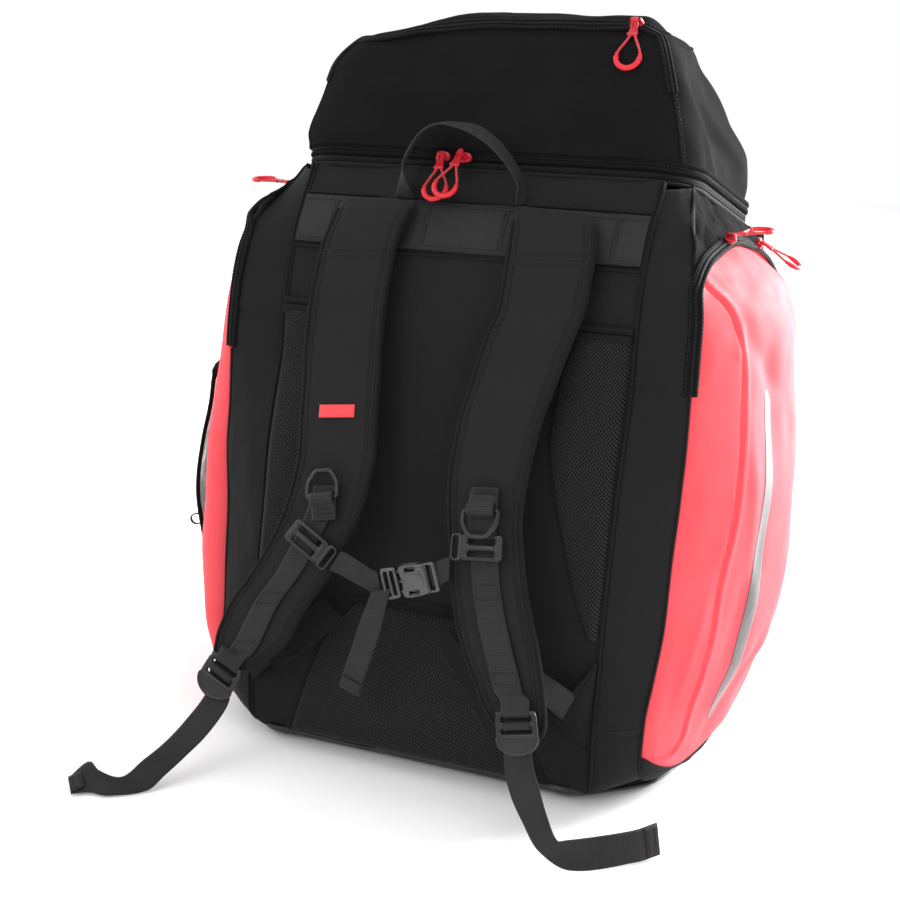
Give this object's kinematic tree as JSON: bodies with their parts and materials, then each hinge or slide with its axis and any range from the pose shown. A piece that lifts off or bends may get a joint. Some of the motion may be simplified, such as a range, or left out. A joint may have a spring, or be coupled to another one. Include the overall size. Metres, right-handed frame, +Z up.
{
  "type": "ski boot bag",
  "caption": "Large backpack for ski gear: hooded main compartment, a zipped boot pocket on each side, padded shoulder straps, sternum buckle, mesh back pads and red cord zip pulls.",
  "frame": {"origin": "centre of the base, on the floor", "axes": "+Z up, X across the back, -Y towards the shoulder straps (the wearer), +Y the far side"},
  "size_m": [0.5474, 0.553, 0.652],
  "materials": {
    "fabric_black": "fine matt nylon weave",
    "softshell_black": "smooth matt softshell",
    "fabric_red": "fine ripstop, slight sheen",
    "base_coated": "glossy coated base fabric",
    "lining": "plain lining",
    "stiffener": "matt sheet",
    "air_mesh": "spacer mesh with small open cells",
    "open_mesh": "open knit mesh",
    "strap_fabric": "matt nylon weave over foam",
    "webbing": "ribbed nylon webbing",
    "zip_tape": "woven tape with coil",
    "hardware": "satin moulded acetal",
    "buckle": "glossy moulded acetal",
    "red_slider": "gloss enamel",
    "red_tab": "glossy moulded",
    "red_cord": "braided cord"
  },
  "bodies": {
    "bag": {"anchor_band": "webbing", "anchor_wings": "fabric_black", "back_panel": "fabric_black", "base_sides": "fabric_black", "base_tray": "base_coated", "boot_dividers": "lining", "buckle_socket": "buckle", "d_ring_loops": "webbing", "frame_sheet": "stiffener", "front_panel": "fabric_black", "lower_webbings": "webbing", "lumbar_pad": "air_mesh", "lumbar_wings": "fabric_black", "mesh_pads": "air_mesh", "mesh_pocket": "open_mesh", "pocket_shoulder_left": "fabric_black", "pocket_shoulder_right": "fabric_black", "pocket_side_left": "fabric_red", "pocket_side_right": "fabric_red", "rim_zip_tape": "zip_tape", "shoulder_strap_left": "strap_fabric", "shoulder_strap_right": "strap_fabric", "side_gusset_left": "fabric_black", "side_gusset_right": "fabric_black", "sternum_sliders": "hardware", "sternum_webbing": "webbing", "strap_adjusters": "hardware", "strap_rails": "webbing", "strap_tails": "webbing"},
    "pocket_flap_left": {"pocket_flap_left": "fabric_red"},
    "rim_slider_left": {"rim_slider_left": "red_slider"},
    "rim_pull_left": {"rim_tab_left": "red_tab", "rim_cord_left": "red_cord"},
    "d_ring_left": {"d_ring_left": "hardware"},
    "pocket_slider_left_front": {"pocket_slider_left_front": "red_slider"},
    "pocket_pull_left_front": {"pocket_tab_left_front": "red_tab", "pocket_cord_left_front": "red_cord"},
    "pocket_slider_left_rear": {"pocket_slider_left_rear": "red_slider"},
    "pocket_pull_left_rear": {"pocket_tab_left_rear": "red_tab", "pocket_cord_left_rear": "red_cord"},
    "pocket_flap_right": {"pocket_flap_right": "fabric_red"},
    "rim_slider_right": {"rim_slider_right": "red_slider"},
    "rim_pull_right": {"rim_tab_right": "red_tab", "rim_cord_right": "red_cord"},
    "d_ring_right": {"d_ring_right": "hardware"},
    "pocket_slider_right_front": {"pocket_slider_right_front": "red_slider"},
    "pocket_pull_right_front": {"pocket_tab_right_front": "red_tab", "pocket_cord_right_front": "red_cord"},
    "pocket_slider_right_rear": {"pocket_slider_right_rear": "red_slider"},
    "pocket_pull_right_rear": {"pocket_tab_right_rear": "red_tab", "pocket_cord_right_rear": "red_cord"},
    "hood": {"hood_hem": "softshell_black", "hood_shell": "softshell_black"},
    "hood_slider": {"hood_slider": "red_slider"},
    "hood_pull": {"hood_tab": "red_tab", "hood_cord": "red_cord"},
    "buckle_plug": {"buckle_plug": "buckle", "sternum_tail": "webbing"},
    "haul_loop": {"haul_loop": "webbing"}
  },
  "joints": [
    {"name": "hood_hinge", "type": "hinge", "parent": "bag", "child": "hood", "pos_m": [0, 0.209, 0.45136], "axis": [-1, 0, 0], "range_deg": [0, 110]},
    {"name": "rim_slider_left_slide", "type": "slide", "parent": "bag", "child": "rim_slider_left", "axis": [-1, 0, 0], "range_m": [0, 0.01]},
    {"name": "rim_slider_right_slide", "type": "slide", "parent": "bag", "child": "rim_slider_right", "axis": [1, 0, 0], "range_m": [0, 0.025]},
    {"name": "rim_pull_left_swing", "type": "hinge", "parent": "rim_slider_left", "child": "rim_pull_left", "pos_m": [-0.035, -0.0254, 0.526], "axis": [0, -0.81, 0.5864], "range_deg": [-20, 30]},
    {"name": "rim_pull_right_swing", "type": "hinge", "parent": "rim_slider_right", "child": "rim_pull_right", "pos_m": [-0.014, -0.0254, 0.526], "axis": [0, -0.81, 0.5864], "range_deg": [-30, 35]},
    {"name": "hood_slider_slide", "type": "slide", "parent": "hood", "child": "hood_slider", "axis": [-1, 0, 0], "range_m": [0, 0.22]},
    {"name": "hood_pull_lift", "type": "hinge", "parent": "hood_slider", "child": "hood_pull", "pos_m": [0.126, 0.01471, 0.64544], "axis": [-1, 0, 0], "range_deg": [0, 100]},
    {"name": "pocket_flap_right_fold", "type": "hinge", "parent": "bag", "child": "pocket_flap_right", "pos_m": [0.269, 0.05, 0.345], "axis": [0, 1, 0], "range_deg": [0, 100]},
    {"name": "pocket_flap_left_fold", "type": "hinge", "parent": "bag", "child": "pocket_flap_left", "pos_m": [-0.269, 0.05, 0.345], "axis": [0, -1, 0], "range_deg": [0, 100]},
    {"name": "pocket_slider_left_front_slide", "type": "slide", "parent": "pocket_flap_left", "child": "pocket_slider_left_front", "axis": [0, -0.998, -0.0634], "range_m": [0, 0.055]},
    {"name": "pocket_pull_left_front_lift", "type": "hinge", "parent": "pocket_slider_left_front", "child": "pocket_pull_left_front", "pos_m": [-0.21763, 0.016, 0.48965], "axis": [0.2545, 0.9671, 0], "range_deg": [0, 90]},
    {"name": "pocket_slider_left_rear_slide", "type": "slide", "parent": "pocket_flap_left", "child": "pocket_slider_left_rear", "axis": [0, 0.9523, -0.3052], "range_m": [0, 0.035]},
    {"name": "pocket_pull_left_rear_lift", "type": "hinge", "parent": "pocket_slider_left_rear", "child": "pocket_pull_left_rear", "pos_m": [-0.21778, 0.118, 0.47011], "axis": [0.107, 0.992, 0.0669], "range_deg": [0, 90]},
    {"name": "pocket_slider_right_front_slide", "type": "slide", "parent": "pocket_flap_right", "child": "pocket_slider_right_front", "axis": [0, -0.998, -0.0634], "range_m": [0, 0.055]},
    {"name": "pocket_pull_right_front_lift", "type": "hinge", "parent": "pocket_slider_right_front", "child": "pocket_pull_right_front", "pos_m": [0.21763, 0.016, 0.46765], "axis": [0.853, -0.5219, 0], "range_deg": [0, 90]},
    {"name": "pocket_slider_right_rear_slide", "type": "slide", "parent": "pocket_flap_right", "child": "pocket_slider_right_rear", "axis": [0, 0.9523, -0.3052], "range_m": [0, 0.035]},
    {"name": "pocket_pull_right_rear_lift", "type": "hinge", "parent": "pocket_slider_right_rear", "child": "pocket_pull_right_rear", "pos_m": [0.21778, 0.118, 0.44811], "axis": [0.107, -0.992, -0.0669], "range_deg": [0, 90]},
    {"name": "d_ring_left_swing", "type": "hinge", "parent": "bag", "child": "d_ring_left", "pos_m": [-0.07753, -0.18521, 0.25114], "axis": [0.9796, -0.02, 0.1999], "range_deg": [0, 150]},
    {"name": "d_ring_right_swing", "type": "hinge", "parent": "bag", "child": "d_ring_right", "pos_m": [0.07103, -0.18266, 0.25931], "axis": [-0.9946, -0.0502, -0.0904], "range_deg": [0, 110]},
    {"name": "haul_loop_swing", "type": "hinge", "parent": "bag", "child": "haul_loop", "pos_m": [0, -0.043, 0.492], "axis": [1, 0, 0], "range_deg": [0, 55]},
    {"name": "buckle_release", "type": "slide", "parent": "bag", "child": "buckle_plug", "axis": [-0.9604, -0.1, -0.2601], "range_m": [0, 0.024]}
  ]
}
